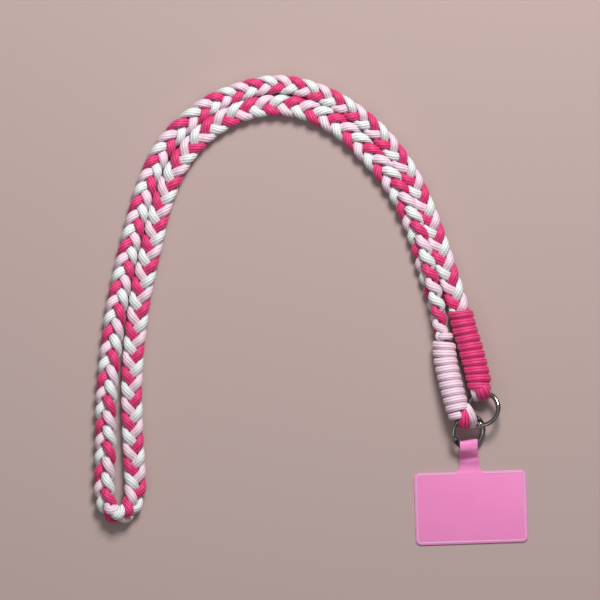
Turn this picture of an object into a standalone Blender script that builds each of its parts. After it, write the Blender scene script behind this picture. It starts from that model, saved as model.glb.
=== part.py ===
"""Phone crossbody strap: a three-strand braided cord with two whipped grips and two spring rings,
linked to each other, and a soft tether patch folded round one of them.

The strap lies on a table as a doubled horseshoe. X runs to the right and Y up the horseshoe, as
seen from above, and Z is up from the table. The origin is on the table, under the middle of the
object's box. Lengths are in millimetres until MM turns them into metres.
"""

import math

import bmesh
import bpy
from mathutils import Matrix, Vector

MM = 0.001
UP = Vector((0.0, 0.0, 1.0))

# Clearances between touching pieces
SEAT_GAP = 0.3
FOLD_GAP = 0.25
WRAP_GAP = 0.6

# Braid: three flattened cords
BRAID_WIDTH = 11.3
BRAID_THICKNESS = 7.4
BRAID_LIFT = 0.17
STRAND_WIDTH = 4.0
STRAND_THICKNESS = 2.4
STRAND_SIDES = 5
STRAND_COLOURS = ("hot_pink", "light_pink", "white")

# Grips: cord whipped round the braid's ends
GRIP_TURN_PITCH = 4.3
GRIP_GROOVE = 0.9
GRIP_SIDES = 12
GRIP_A_DIAMETER = 13.0
GRIP_B_DIAMETER = 13.8
KNOB_DIAMETER = 7.6
KNOB_LENGTH = 5.2

# Eyes: loops of cord that come out of each grip and hold a ring
EYE_CORD_WIDTH = 4.0
EYE_CORD_THICKNESS = 2.0
EYE_CORD_SIDES = 6

# Spring rings
RING_CENTRE_DIAMETER = 18.0
RING_WIRE = 2.9
GATE_WIRE = 2.4
RING_SEGMENTS = 26
RING_SIDES = 6
PIN_DIAMETER = 0.9
KNUCKLE_DIAMETER = 3.1
TONGUE_THICKNESS = 1.1
HINGE_GAP = 0.2
HINGE_SIDES = 12
RING_A_HEIGHT = 7.0
RING_B_HEIGHT = 7.55
RING_A_TILT = math.radians(27)
RING_B_TILT = math.radians(22)
GATE_A_HINGE = math.radians(150)
GATE_A_TIP = math.radians(94)
GATE_B_HINGE = math.radians(201)
GATE_B_TIP = math.radians(300)

# Tether patch
PATCH_WIDTH = 62.4
PATCH_DEPTH = 40.1
PATCH_WALL = 0.8
PATCH_CORNER = 3.2
PATCH_TURN = math.radians(1.9)
TAB_WIDTH = 9.2
TAB_WALL = 0.7
TAB_FILLET = 2.2
TAB_REACH = 17.1

# Where the pieces lie on the table, from the middle of the object's box
RING_A_PLACE = Vector((86.5, -66.8))
LINK_DIRECTION = Vector((0.542, 0.840)).normalized()
PATCH_PLACE = Vector((88.15, -109.2))
TAB_OFFSET = -0.2

# The braid's route: repeats of the braid so far, x, y, roll in degrees that lifts the left edge
# as one travels, spread as a share of the braid's width, and body as a share of the strands'
# section, which is squeezed in the fold. One point lies at each hot pink lobe on the traveller's
# right.
BRAID_ROUTE = (
    (-0.40, 71.4, -10.0, -84, 1.00, 1.0),
    (0, 69.8, -0.4, -80, 1.00, 1.0),
    (1, 63.5, 23.1, -58, 1.00, 1.0),
    (2, 57.0, 46.4, -38, 1.00, 1.0),
    (3, 46.1, 69.2, -22, 1.02, 1.0),
    (4, 30.6, 88.4, -8, 1.02, 1.0),
    (5, 11.8, 104.7, 0, 1.00, 1.0),
    (6, -11.3, 113.6, 0, 0.98, 1.0),
    (7, -35.1, 112.1, -4, 0.97, 0.95),
    (8, -57.3, 100.7, -4, 0.98, 0.95),
    (9, -73.5, 82.5, 8, 0.97, 1.0),
    (10, -83.4, 59.8, 5, 0.97, 1.0),
    (11, -89.1, 36.6, 8, 0.98, 1.0),
    (12, -94.5, 13.0, 8, 1.00, 1.0),
    (13, -98.1, -11.7, 0, 0.98, 1.0),
    (14, -100.1, -36.2, 0, 0.97, 1.0),
    (15, -99.9, -61.7, -4, 0.97, 1.0),
    (16, -98.7, -86.7, -8, 1.00, 1.0),
    (16.5, -98.3, -99.0, -28, 1.00, 0.8),
    (17, -101.9, -111.0, -60, 0.95, 0.78),
    (17.5, -111.1, -112.0, -60, 0.95, 0.78),
    (18, -115.1, -102.0, -37, 0.95, 0.8),
    (19, -114.7, -76.0, -28, 0.97, 1.0),
    (20, -114.4, -50.5, -30, 0.97, 1.0),
    (21, -112.2, -25.5, -18, 0.97, 1.0),
    (22, -108.9, 0.3, -15, 0.97, 1.0),
    (23, -104.2, 24.2, 0, 0.93, 1.0),
    (24, -98.5, 47.7, 0, 0.92, 1.0),
    (25, -91.5, 71.2, -2, 0.92, 1.0),
    (26, -80.9, 92.7, 10, 0.93, 0.93),
    (27, -61.7, 111.1, 10, 0.89, 0.88),
    (28, -42.4, 121.0, 4, 0.86, 0.84),
    (29, -19.6, 125.8, -4, 0.87, 0.84),
    (30, 2.9, 121.2, 0, 0.87, 0.84),
    (31, 23.4, 110.0, 5, 0.87, 0.84),
    (32, 40.7, 94.3, 0, 0.88, 0.84),
    (33, 54.9, 74.1, -3, 0.89, 0.88),
    (34, 64.6, 52.2, 5, 0.92, 0.95),
    (35, 72.2, 30.1, 2, 0.96, 1.0),
    (36, 79.9, 5.8, 8, 0.97, 1.0),
    (36.24, 81.6, 0.0, 5, 0.97, 1.0),
)

# Grip axes: x, y and z of a few points, from the braid's end to the ring's end
GRIP_A_AXIS = (
    (73.2, -12.4, 6.2), (72.9, -17.5, 6.7), (73.6, -26.1, 7.4), (75.6, -35.6, 8.5), (78.1, -45.6, 9.8),
    (80.7, -54.6, 11.0),
)
GRIP_B_AXIS = ((82.5, -1.9, 7.0), (84.2, -8.8, 7.0), (87.3, -18.9, 7.0), (90.4, -30.0, 7.0), (92.8, -40.4, 7.0))

# Eye cords: points of the loop's middle line, out over the ring's wire and back under it. Each is
# a share of the way from the grip's end to the wire that the eye holds, and x, y and z from there.
EYE_A_HOLD = math.radians(50)
EYE_B_HOLD = math.radians(30)
EYE_A_HOT_ROUTE = (
    (0.0, 1.7, -2.4, 2.2), (0.5, 0.5, -2.6, 2.9), (1.0, -0.8, -3.4, 2.9), (1.0, -0.6, -5.6, 0.4),
    (1.0, -1.0, -3.8, -2.3), (0.5, 0.4, -3.0, -3.2), (0.0, 1.5, -2.4, -3.6),
)
EYE_A_LIGHT_ROUTE = (
    (0.0, 5.5, -0.8, 1.4), (0.5, 5.0, -1.6, 2.0), (1.0, 3.9, -3.2, 1.8), (1.0, 4.2, -7.6, -3.1),
    (1.0, 3.5, -5.6, -7.8), (0.5, 3.2, -4.0, -9.0), (0.0, 2.3, -3.6, -8.2),
)
EYE_B_HOT_ROUTE = (
    (0.0, 1.4, -1.5, 2.4), (0.5, 0.9, -1.2, 3.5), (1.0, 0.4, -1.2, 3.6), (1.0, 0.7, -3.7, 0.5),
    (1.0, 0.3, -1.8, -2.6), (0.5, 0.7, -1.8, -4.0), (0.0, 1.2, -1.6, -3.6),
)
EYE_B_LIGHT_ROUTE = (
    (0.0, -3.2, -2.7, 2.0), (0.5, -3.7, -2.6, 3.0), (1.0, -4.1, -2.8, 2.7), (1.0, -3.6, -5.7, -0.6),
    (1.0, -4.2, -3.8, -3.9), (0.5, -4.0, -3.0, -4.9), (0.0, -3.4, -2.7, -4.0),
)

COLOURS = {
    "hot_pink": (0.85, 0.08, 0.27, 1.0),
    "light_pink": (0.90, 0.70, 0.79, 1.0),
    "white": (0.86, 0.92, 0.89, 1.0),
    "steel": (0.62, 0.62, 0.62, 1.0),
    "patch_pink": (0.84, 0.23, 0.50, 1.0),
}


def material(name, roughness, metallic=0.0):
    """A Principled material in one of the named colours."""
    result = bpy.data.materials.new(name)
    result.use_nodes = True
    shader = result.node_tree.nodes["Principled BSDF"]
    shader.inputs["Base Color"].default_value = COLOURS[name]
    shader.inputs["Roughness"].default_value = roughness
    shader.inputs["Metallic"].default_value = metallic
    return result


def new_object(name, mesh, finish):
    """An object for a finished mesh, linked to the scene."""
    mesh.materials.append(finish)
    result = bpy.data.objects.new(name, mesh)
    bpy.context.scene.collection.objects.link(result)
    return result


def mesh_from(bm, name):
    """A mesh from a bmesh in millimetres, with its faces turned outwards."""
    bmesh.ops.recalc_face_normals(bm, faces=bm.faces)
    bmesh.ops.scale(bm, vec=(MM, MM, MM), verts=bm.verts)
    mesh = bpy.data.meshes.new(name)
    bm.to_mesh(mesh)
    bm.free()
    mesh.shade_smooth()
    mesh.set_sharp_from_angle(angle=math.radians(50))
    return mesh


def loft(rings):
    """A closed bmesh through rings of as many points each: the first face, extruded ring by ring."""
    bm = bmesh.new()
    first = bm.faces.new([bm.verts.new(point) for point in rings[0]])
    face = first
    for ring in rings[1:]:
        grown = bmesh.ops.extrude_face_region(bm, geom=[face])["geom"]
        inner = face
        face = next(item for item in grown if isinstance(item, bmesh.types.BMFace))
        if inner is not first:
            bm.faces.remove(inner)
        for vert, point in zip(face.verts, ring):
            vert.co = point
    return bm


def smooth_point(points, at):
    """The point of a smooth curve through rows of (parameter, values...) at one parameter."""
    keys = [row[0] for row in points]
    last = len(points) - 2
    index = min(max(sum(key <= at for key in keys) - 1, 0), last)

    def slope(i):
        low = max(i - 1, 0)
        high = min(i + 1, len(points) - 1)
        return [(b - a) / (keys[high] - keys[low]) for a, b in zip(points[low][1:], points[high][1:])]

    span = keys[index + 1] - keys[index]
    t = (at - keys[index]) / span
    start, end = points[index][1:], points[index + 1][1:]
    return [
        (1 + 2 * t) * (1 - t) ** 2 * a + t * (1 - t) ** 2 * span * da
        + t * t * (3 - 2 * t) * b + t * t * (t - 1) * span * db
        for a, b, da, db in zip(start, end, slope(index), slope(index + 1))
    ]


def path_rows(points):
    """Rows of (length so far, x, y, z) for a list of points, for smooth_point."""
    rows = [(0.0, *points[0])]
    for before, point in zip(points, points[1:]):
        rows.append((rows[-1][0] + (Vector(point) - Vector(before)).length, *point))
    return rows


def braid_frame(at):
    """The braid's middle, lateral and face directions, spread and body at a count of repeats."""
    x, y, roll, spread, body = smooth_point(BRAID_ROUTE, at)
    step = 0.01
    ahead = smooth_point(BRAID_ROUTE, at + step)
    behind = smooth_point(BRAID_ROUTE, at - step)
    heading = Vector((ahead[0] - behind[0], ahead[1] - behind[1], 0.0)).normalized()
    left = UP.cross(heading)
    turn = math.radians(roll)
    lateral = left * math.cos(turn) + UP * math.sin(turn)
    face = UP * math.cos(turn) - left * math.sin(turn)
    height = math.hypot(BRAID_WIDTH / 2 * math.sin(turn), BRAID_THICKNESS / 2 * math.cos(turn))
    return Vector((x, y, height + BRAID_LIFT)), lateral, face, spread, body


# A strand swings across the braid once a repeat and over and under twice, so that three strands,
# a third of a repeat apart, plait. It turns over at each edge like a ribbon.
SWING = (BRAID_WIDTH - STRAND_THICKNESS) / 2
CROSSING_HEIGHT = math.sin(math.radians(60))
RISE = (BRAID_THICKNESS - STRAND_THICKNESS) / 2 / CROSSING_HEIGHT
LOBE_PHASE = math.radians(315)
STATION_PHASES = [math.radians(angle) for angle in (30, 90, 150, 210, 270, 330)]


def strand_point(at, offset):
    """A strand's middle, phase and body and the braid's directions at a count of repeats."""
    middle, lateral, face, spread, body = braid_frame(at)
    phase = 2 * math.pi * at + LOBE_PHASE + offset
    point = middle + lateral * SWING * spread * math.sin(phase) - face * RISE * math.sin(2 * phase)
    return point, phase, body, lateral, face


def oval(middle, across, through, width, thickness, sides):
    """A ring of points round an oval."""
    angles = [2 * math.pi * i / sides for i in range(sides)]
    return [
        middle + across * width / 2 * math.cos(angle) + through * thickness / 2 * math.sin(angle)
        for angle in angles
    ]


def strand_ring(at, offset):
    """The strand's section at a count of repeats."""
    step = 0.005
    middle, phase, body, lateral, face = strand_point(at, offset)
    heading = (strand_point(at + step, offset)[0] - strand_point(at - step, offset)[0]).normalized()
    lean = math.pi / 2 * (1 + math.cos(phase))
    through = lateral * math.sin(lean) + face * math.cos(lean)
    through = (through - heading * through.dot(heading)).normalized()
    across = through.cross(heading)
    return oval(middle, across, through, STRAND_WIDTH * body, STRAND_THICKNESS * body, STRAND_SIDES)


def build_strand(colour, offset, finish):
    """One strand of the braid, from the hot pink grip back to the light pink one."""
    start, end = BRAID_ROUTE[0][0], BRAID_ROUTE[-1][0]
    stations = [start, end]
    for repeat in range(math.floor(start) - 2, math.ceil(end) + 2):
        for phase in STATION_PHASES:
            at = repeat + (phase - LOBE_PHASE - offset) / (2 * math.pi)
            if start + 0.02 < at < end - 0.02:
                stations.append(at)
    bm = loft([strand_ring(at, offset) for at in sorted(stations, reverse=True)])
    return new_object("strand_" + colour, mesh_from(bm, "strand_" + colour), finish)


def tube_rings(points, stations, radii, sides):
    """Round rings square to a smooth path, at lengths along it."""
    rows = path_rows(points)
    rings = []
    for length, radius in zip(stations, radii):
        step = 0.2
        middle = Vector(smooth_point(rows, length))
        heading = (Vector(smooth_point(rows, length + step)) - Vector(smooth_point(rows, length - step))).normalized()
        across = heading.cross(UP).normalized()
        rings.append(oval(middle, across, across.cross(heading), 2 * radius, 2 * radius, sides))
    return rings


def build_grip(name, axis, diameter, knob_diameter, knob_length, finish):
    """A whipped grip: a barrel with one rounded ridge for each turn of cord."""
    total = path_rows(axis)[-1][0]
    radius = diameter / 2
    turns = max(round((total - knob_length) / GRIP_TURN_PITCH), 1)
    pitch = (total - knob_length) / turns
    stations, radii = [], []
    if knob_length:
        knob = knob_diameter / 2
        stations += [0.0, knob_length * 0.25, knob_length * 0.8]
        radii += [knob - GRIP_GROOVE, knob, knob]
    for turn in range(turns):
        start = knob_length + turn * pitch
        stations += [start + pitch * share for share in (0.02, 0.28, 0.72)]
        radii += [radius - GRIP_GROOVE, radius, radius]
    stations.append(total)
    radii.append(radius - GRIP_GROOVE)
    bm = loft(tube_rings(axis, stations, radii, GRIP_SIDES))
    return new_object(name, mesh_from(bm, name), finish)


def ring_frame(is_b):
    """A ring's place and directions: x along the link, y across it and tilted, z square to the ring."""
    reach = RING_CENTRE_DIAMETER - RING_WIRE - SEAT_GAP
    place = RING_A_PLACE + LINK_DIRECTION * (reach if is_b else 0.0)
    tilt = -RING_B_TILT if is_b else RING_A_TILT
    along = LINK_DIRECTION.to_3d()
    across = UP.cross(along) * math.cos(tilt) + UP * math.sin(tilt)
    square = along.cross(across)
    frame = Matrix((along, across, square)).transposed().to_4x4()
    frame.translation = (place.x, place.y, RING_B_HEIGHT if is_b else RING_A_HEIGHT)
    return frame


def on_ring(frame, angle):
    """A point of a ring's middle line."""
    radius = RING_CENTRE_DIAMETER / 2
    return frame @ Vector((radius * math.cos(angle), radius * math.sin(angle), 0.0))


def build_eye_cord(name, route, grip_end, wire_place, finish):
    """One cord of an eye: a flattened loop out over a ring's wire and back under it."""
    points = [Vector(grip_end).lerp(wire_place, share) + Vector(offset) for share, *offset in route]
    rows = path_rows(points)
    total = rows[-1][0]
    out = points[3] - points[0]
    across = Vector((-out.y, out.x, 0.0)).normalized()
    count = 15
    rings = []
    for index in range(count):
        length = total * index / (count - 1)
        step = 0.2
        heading = (Vector(smooth_point(rows, length + step)) - Vector(smooth_point(rows, length - step))).normalized()
        through = heading.cross(across).normalized()
        middle = Vector(smooth_point(rows, length))
        rings.append(oval(middle, across, through, EYE_CORD_WIDTH, EYE_CORD_THICKNESS, EYE_CORD_SIDES))
    bm = loft(rings)
    return new_object(name, mesh_from(bm, name), finish)


def arc_tube(start, end, wire, start_slant=0.0, end_slant=0.0):
    """A bmesh tube along an arc of the ring's middle line. A slant turns an end's outer side on."""
    count = max(round(abs(end - start) / (2 * math.pi) * RING_SEGMENTS), 2)
    rings = []
    for index in range(count + 1):
        angle = start + (end - start) * index / count
        out = Vector((math.cos(angle), math.sin(angle), 0.0))
        slant = start_slant if index == 0 else end_slant if index == count else 0.0
        section = oval(out * RING_CENTRE_DIAMETER / 2, out, UP, wire, wire, RING_SIDES)
        offsets = [point.dot(out) - RING_CENTRE_DIAMETER / 2 for point in section]
        turns = [Matrix.Rotation(slant * offset, 3, "Z") for offset in offsets]
        rings.append([turn @ point for turn, point in zip(turns, section)])
    return loft(rings)


def cylinder(diameter, depth, place):
    """A bmesh cylinder standing along Z."""
    bm = bmesh.new()
    bmesh.ops.create_cone(
        bm, cap_ends=True, segments=HINGE_SIDES, radius1=diameter / 2, radius2=diameter / 2, depth=depth,
        matrix=Matrix.Translation(place),
    )
    return bm


def block(size, frame):
    """A bmesh block in a frame."""
    bm = bmesh.new()
    bmesh.ops.create_cube(bm, size=1.0, matrix=frame @ Matrix.Diagonal((*size, 1.0)))
    return bm


def placed_object(name, bm, frame, finish):
    """An object from a bmesh in a frame's own directions."""
    bmesh.ops.transform(bm, matrix=frame, verts=bm.verts)
    return new_object(name, mesh_from(bm, name), finish)


def guide(name, bm, frame, finish):
    """A shape that a Boolean uses and the build leaves out."""
    result = placed_object(name, bm, frame, finish)
    result.hide_render = True
    result.display_type = "WIRE"
    return result


def boolean(target, tool, operation):
    """A Boolean modifier of one guide on an object."""
    modifier = target.modifiers.new(operation.lower(), "BOOLEAN")
    modifier.operation = operation
    modifier.object = tool


def build_ring(letter, is_b, hinge, tip, finish):
    """A spring ring: the open hook with its hinge fork and pin, and the sprung gate."""
    frame = ring_frame(is_b)
    radius = RING_CENTRE_DIAMETER / 2
    turn = 1 if tip > hinge else -1
    place = Vector((radius * math.cos(hinge), radius * math.sin(hinge), 0.0))
    along_gate = Matrix.Translation(place) @ Matrix.Rotation(hinge + turn * math.pi / 2, 4, "Z")
    name = "ring_" + letter

    slot_thickness = TONGUE_THICKNESS + 2 * HINGE_GAP
    slot_diameter = KNUCKLE_DIAMETER + 2 * HINGE_GAP
    swing = abs(tip - hinge) / 2
    slant = -turn * math.tan(swing) / radius
    hook_start = tip + turn * SEAT_GAP / math.cos(swing) / radius
    hook_tube = arc_tube(hook_start, hinge + turn * 2 * math.pi, RING_WIRE, start_slant=slant)
    hook = placed_object(name + "_hook", hook_tube, frame, finish)
    boolean(hook, guide(name + "_fork", cylinder(KNUCKLE_DIAMETER, RING_WIRE, place), frame, finish), "UNION")
    slot = guide(name + "_slot", cylinder(slot_diameter, slot_thickness, place), frame, finish)
    boolean(hook, slot, "DIFFERENCE")
    pin_depth = RING_WIRE - TONGUE_THICKNESS / 2
    boolean(hook, guide(name + "_pin", cylinder(PIN_DIAMETER, pin_depth, place), frame, finish), "UNION")

    tube_start = hinge + turn * (slot_diameter / 2 + HINGE_GAP) / radius
    gate_tube = arc_tube(tube_start, tip, GATE_WIRE, end_slant=slant)
    gate = placed_object(name + "_gate", gate_tube, frame, finish)
    tongue_length = slot_diameter / 2 + 2 * HINGE_GAP + TONGUE_THICKNESS / 2
    tongue_frame = along_gate @ Matrix.Translation((tongue_length / 2, 0.0, 0.0))
    tongue = block((tongue_length, GATE_WIRE * 0.7, TONGUE_THICKNESS), tongue_frame)
    boolean(gate, guide(name + "_tongue", tongue, frame, finish), "UNION")
    eye = cylinder(KNUCKLE_DIAMETER - 2 * HINGE_GAP, TONGUE_THICKNESS, place)
    boolean(gate, guide(name + "_gate_eye", eye, frame, finish), "UNION")
    hole = cylinder(PIN_DIAMETER + 2 * HINGE_GAP, RING_WIRE * 2, place)
    boolean(gate, guide(name + "_gate_hole", hole, frame, finish), "DIFFERENCE")


def arc_points(centre, radius, start, end, count):
    """Points round an arc in the table's plane, angles in degrees."""
    angles = [math.radians(start + (end - start) * index / count) for index in range(count + 1)]
    return [Vector((centre[0] + radius * math.cos(a), centre[1] + radius * math.sin(a), 0.0)) for a in angles]


def patch_outline():
    """The patch's rounded rectangle, with the flared root of the tab on its top edge."""
    x, y = PATCH_WIDTH / 2, PATCH_DEPTH / 2
    inner_x, inner_y = x - PATCH_CORNER, y - PATCH_CORNER
    root_left = TAB_OFFSET - TAB_WIDTH / 2
    root_right = TAB_OFFSET + TAB_WIDTH / 2
    outline = arc_points((inner_x, inner_y), PATCH_CORNER, 0, 90, 4)
    outline += arc_points((root_right + TAB_FILLET, y + TAB_FILLET), TAB_FILLET, 270, 180, 3)
    outline += arc_points((root_left - TAB_FILLET, y + TAB_FILLET), TAB_FILLET, 0, -90, 3)
    outline += arc_points((-inner_x, inner_y), PATCH_CORNER, 90, 180, 4)
    outline += arc_points((-inner_x, -inner_y), PATCH_CORNER, 180, 270, 4)
    outline += arc_points((inner_x, -inner_y), PATCH_CORNER, 270, 360, 4)
    return outline


def wire_at(across, patch_frame):
    """The first ring's wire at a place across the tab: its reach, height and half depth there."""
    to_patch = patch_frame.inverted()
    frame = ring_frame(False)
    points = [to_patch @ on_ring(frame, math.radians(angle)) for angle in range(110, 290, 2)]
    nearest = min(range(1, len(points) - 1), key=lambda index: abs(points[index].x - across))
    run = (points[nearest + 1] - points[nearest - 1]).to_2d().normalized()
    return points[nearest].y, points[nearest].z, RING_WIRE / 2 / abs(run.x)


def tab_profile(across, patch_frame):
    """The tab's middle surface at a place across it: up over the wire, round it and back under."""
    reach, wire_height, half_wire = wire_at(across, patch_frame)
    edge = PATCH_DEPTH / 2
    wrap = half_wire + WRAP_GAP + TAB_WALL / 2
    height = max(wire_height, wrap + TAB_WALL / 2)
    fold = max(reach, edge + TAB_REACH - TAB_WALL / 2 - wrap)
    low = PATCH_WALL / 2
    doubled = low + TAB_WALL + FOLD_GAP
    points = [(edge - 1.2, low), (edge + 1.2, low), (edge + 3.4, doubled), (edge + 7.0, doubled + 0.3)]
    rise = reach - wrap
    points += [((edge + 7.0 + rise) / 2, (doubled + 0.3 + height + wrap) / 2 - 0.2), (rise, height + wrap - 0.25)]
    points += [(reach, height + wrap)]
    for angle in (60, 30, 0, -30, -60, -90):
        turn = math.radians(angle)
        points.append((fold + wrap * math.cos(turn), height + wrap * math.sin(turn)))
    under = max(height - wrap, low)
    points += [((edge + 7.0 + fold) / 2, (under + low) / 2), (edge + 6.0, low), (edge + 4.2, low)]
    return points


def build_patch(finish):
    """The soft patch: a thin plate and its tab, folded round the first ring's wire."""
    frame = Matrix.Translation(PATCH_PLACE.to_3d()) @ Matrix.Rotation(PATCH_TURN, 4, "Z")
    outline = patch_outline()
    lift = UP * PATCH_WALL
    patch = placed_object("tether_patch", loft([outline, [point + lift for point in outline]]), frame, finish)

    columns = 6
    places = [TAB_OFFSET + TAB_WIDTH * (index / columns - 0.5) for index in range(columns + 1)]
    profiles = [[Vector((x, y, z)) for y, z in tab_profile(x, frame)] for x in places]
    bm = bmesh.new()
    rows = [[bm.verts.new(point) for point in profile] for profile in profiles]
    for left, right in zip(rows, rows[1:]):
        for a, b, c, d in zip(left, left[1:], right[1:], right):
            bm.faces.new((a, b, c, d))
    tab = guide("tether_patch_tab", bm, frame, finish)
    wall = tab.modifiers.new("wall", "SOLIDIFY")
    wall.thickness = TAB_WALL * MM
    wall.offset = 0.0
    wall.use_even_offset = True
    boolean(patch, tab, "UNION")


def centre_on_table():
    """Moves every mesh so that the origin lies on the table, under the middle of the box."""
    meshes = [item.data for item in bpy.data.objects if not item.hide_render]
    points = [vert.co for mesh in meshes for vert in mesh.vertices]
    low = [min(point[axis] for point in points) for axis in range(3)]
    high = [max(point[axis] for point in points) for axis in range(3)]
    shift = Matrix.Translation((-(low[0] + high[0]) / 2, -(low[1] + high[1]) / 2, -low[2]))
    for item in bpy.data.objects:
        item.data.transform(shift)


def main():
    for item in list(bpy.data.objects):
        bpy.data.objects.remove(item, do_unlink=True)
    cords = {colour: material(colour, 0.85) for colour in STRAND_COLOURS}
    steel = material("steel", 0.2, 1.0)
    soft = material("patch_pink", 0.5)

    for colour, offset in zip(STRAND_COLOURS, (0.0, 2 * math.pi / 3, -2 * math.pi / 3)):
        build_strand(colour, offset, cords[colour])
    build_grip("grip_light_pink", GRIP_A_AXIS, GRIP_A_DIAMETER, KNOB_DIAMETER, KNOB_LENGTH, cords["light_pink"])
    build_grip("grip_hot_pink", GRIP_B_AXIS, GRIP_B_DIAMETER, 0.0, 0.0, cords["hot_pink"])
    hold_a = on_ring(ring_frame(False), EYE_A_HOLD)
    hold_b = on_ring(ring_frame(True), EYE_B_HOLD)
    build_eye_cord("eye_a_hot_pink", EYE_A_HOT_ROUTE, GRIP_A_AXIS[-1], hold_a, cords["hot_pink"])
    build_eye_cord("eye_a_light_pink", EYE_A_LIGHT_ROUTE, GRIP_A_AXIS[-1], hold_a, cords["light_pink"])
    build_eye_cord("eye_b_hot_pink", EYE_B_HOT_ROUTE, GRIP_B_AXIS[-1], hold_b, cords["hot_pink"])
    build_eye_cord("eye_b_light_pink", EYE_B_LIGHT_ROUTE, GRIP_B_AXIS[-1], hold_b, cords["light_pink"])
    build_ring("a", False, GATE_A_HINGE, GATE_A_TIP, steel)
    build_ring("b", True, GATE_B_HINGE, GATE_B_TIP, steel)
    build_patch(soft)
    centre_on_table()


main()
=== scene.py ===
"""Phone crossbody strap, dressed for the camera: three knitted cords plaited flat, two whipped grips,
two linked spring rings and a soft tether patch, lying on a pale table and seen from above.

Lengths are in millimetres, as in the part's own source, until a piece is put in its place.
"""

import math

import bmesh
import bpy
from mathutils import Matrix, Vector


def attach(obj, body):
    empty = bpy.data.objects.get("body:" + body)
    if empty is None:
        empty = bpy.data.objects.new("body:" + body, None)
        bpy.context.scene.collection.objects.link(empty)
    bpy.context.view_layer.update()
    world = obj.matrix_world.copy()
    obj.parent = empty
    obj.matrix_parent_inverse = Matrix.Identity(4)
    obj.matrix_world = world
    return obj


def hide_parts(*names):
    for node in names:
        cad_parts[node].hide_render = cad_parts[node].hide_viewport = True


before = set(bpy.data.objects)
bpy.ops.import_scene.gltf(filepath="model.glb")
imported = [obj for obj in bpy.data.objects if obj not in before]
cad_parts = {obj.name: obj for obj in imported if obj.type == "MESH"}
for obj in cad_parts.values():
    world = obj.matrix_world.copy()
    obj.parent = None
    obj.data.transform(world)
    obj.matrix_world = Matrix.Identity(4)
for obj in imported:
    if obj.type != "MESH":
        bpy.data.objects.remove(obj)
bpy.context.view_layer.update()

MM = 0.001
UP = Vector((0.0, 0.0, 1.0))

# The part's source centres the strap on the table, which moves its chosen points by this much
TABLE_SHIFT = Vector((0.046, -0.208, 0.0))

# Plait: three cords, pressed flat against each other. A leaning plait stands higher on the table, and
# the power sets how soon it rises between lying flat and standing on its edge.
BRAID_WIDTH = 12.8
BRAID_THICKNESS = 8.7
LEAN_POWER = 1.3
CORD_WIDTH = 5.2
CORD_THICKNESS = 3.7
CORD_SIDES = 20
STEPS_PER_REPEAT = 26
SWING = 4.3
RISE = 2.5
LOBE_PHASE = math.radians(315)

# Knitted sheath of the cords. The number of ribs round it is a guess: more of them would be too fine
# to show in the picture, so they are drawn as coarse as they need to show.
RIBS_ROUND = 9
STITCH_LENGTH = 1.2
STITCH_SHARE = 0.16
RIB_RELIEF = 0.3
WORN_PATCH = 4.55

# Grain of the other finishes, coarse enough to show
STEEL_RIPPLE = 1.11
STEEL_RELIEF = 0.05
TPU_CLOUD = 22.2
TPU_GRAIN = 0.385
TPU_RELIEF = 0.08

# Grips: cord wound round the plait's ends. A skew tips the turns from end to end, as shares of the
# radius, and the ends draw a turn's start and finish in towards the axis.
TURN_PITCH_A = 4.4
TURN_PITCH_B = 4.55
TURN_PLAY = 0.1
TURN_THICKNESS = 3.4
TURN_SQUARENESS = 2.5
TURN_STATIONS = 40
WINDING_START = math.radians(-60)
GRIP_A_DIAMETER = 13.3
GRIP_A_SKEW = (-0.03, -0.06)
GRIP_A_ENDS = (0.85, 0.8)
GRIP_B_DIAMETER = 14.1
GRIP_B_SKEW = (-0.04, 0.05)
GRIP_B_ENDS = (0.85, 0.75)
COLLAR_START = 1.6
COLLAR_LENGTH = 2.4
COLLAR_RADIUS = 4.8
COLLAR_ANGLE = math.radians(200)
COLLAR_SKEW = (-0.3, -0.1)
COLLAR_ENDS = (0.85, 0.9)
COLLAR_TURN_WIDTH = 3.9

# Eyes: the cord is pressed against the rings' wires
EYE_STATIONS = 60
EYE_SQUARENESS = 2.2

# Spring rings
RING_CENTRE_DIAMETER = 18.0
RING_WIRE = 2.9
GATE_WIRE = 2.4
RING_A_HEIGHT = 7.0
RING_B_HEIGHT = 7.55
RING_A_TILT = math.radians(27)
RING_B_TILT = math.radians(22)
RING_A_PLACE = Vector((86.5, -66.8))
RING_REACH = 14.8
LINK_DIRECTION = Vector((0.542, 0.840)).normalized()
GATE_A_HINGE = math.radians(150)
GATE_A_TIP = math.radians(94)
GATE_B_HINGE = math.radians(201)
GATE_B_TIP = math.radians(300)
KNUCKLE_DIAMETER = 3.1
TONGUE_THICKNESS = 1.1
HINGE_GAP = 0.2
TIP_GAP = 0.3
PIN_HEAD_RADIUS = 0.62
PLATE_EASE = 0.18
TONGUE_EASE = 0.1
BLOCK_EASE = 0.12

# Tether patch
PATCH_WIDTH = 62.4
PATCH_DEPTH = 40.1
PATCH_WALL = 0.8
PATCH_CORNER = 3.2
PATCH_TURN = math.radians(1.9)
PATCH_PLACE = Vector((88.15, -109.2))
TAB_WIDTH = 9.8
TAB_ROOT_WIDTH = 11.4
TAB_FILLET = 2.2
TAB_REACH = 17.1
TAB_OFFSET = -0.2
WRAP_GAP = 0.3
FOLD_GAP = 0.2
SHEET_EASE = 0.22
RIM_INSET = 1.2
RIM_WIDTH = 1.0
RIM_HEIGHT = 0.4
RIM_SINK = 0.1

# Camera: the photograph's scale, and where its middle lies on the table
PHOTO_PIXELS = 600
PIXELS_PER_MM = 1.8
CAMERA_PLACE = (-0.0068, 0.0059)
LENS = 500.0
SENSOR = 36.0

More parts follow.
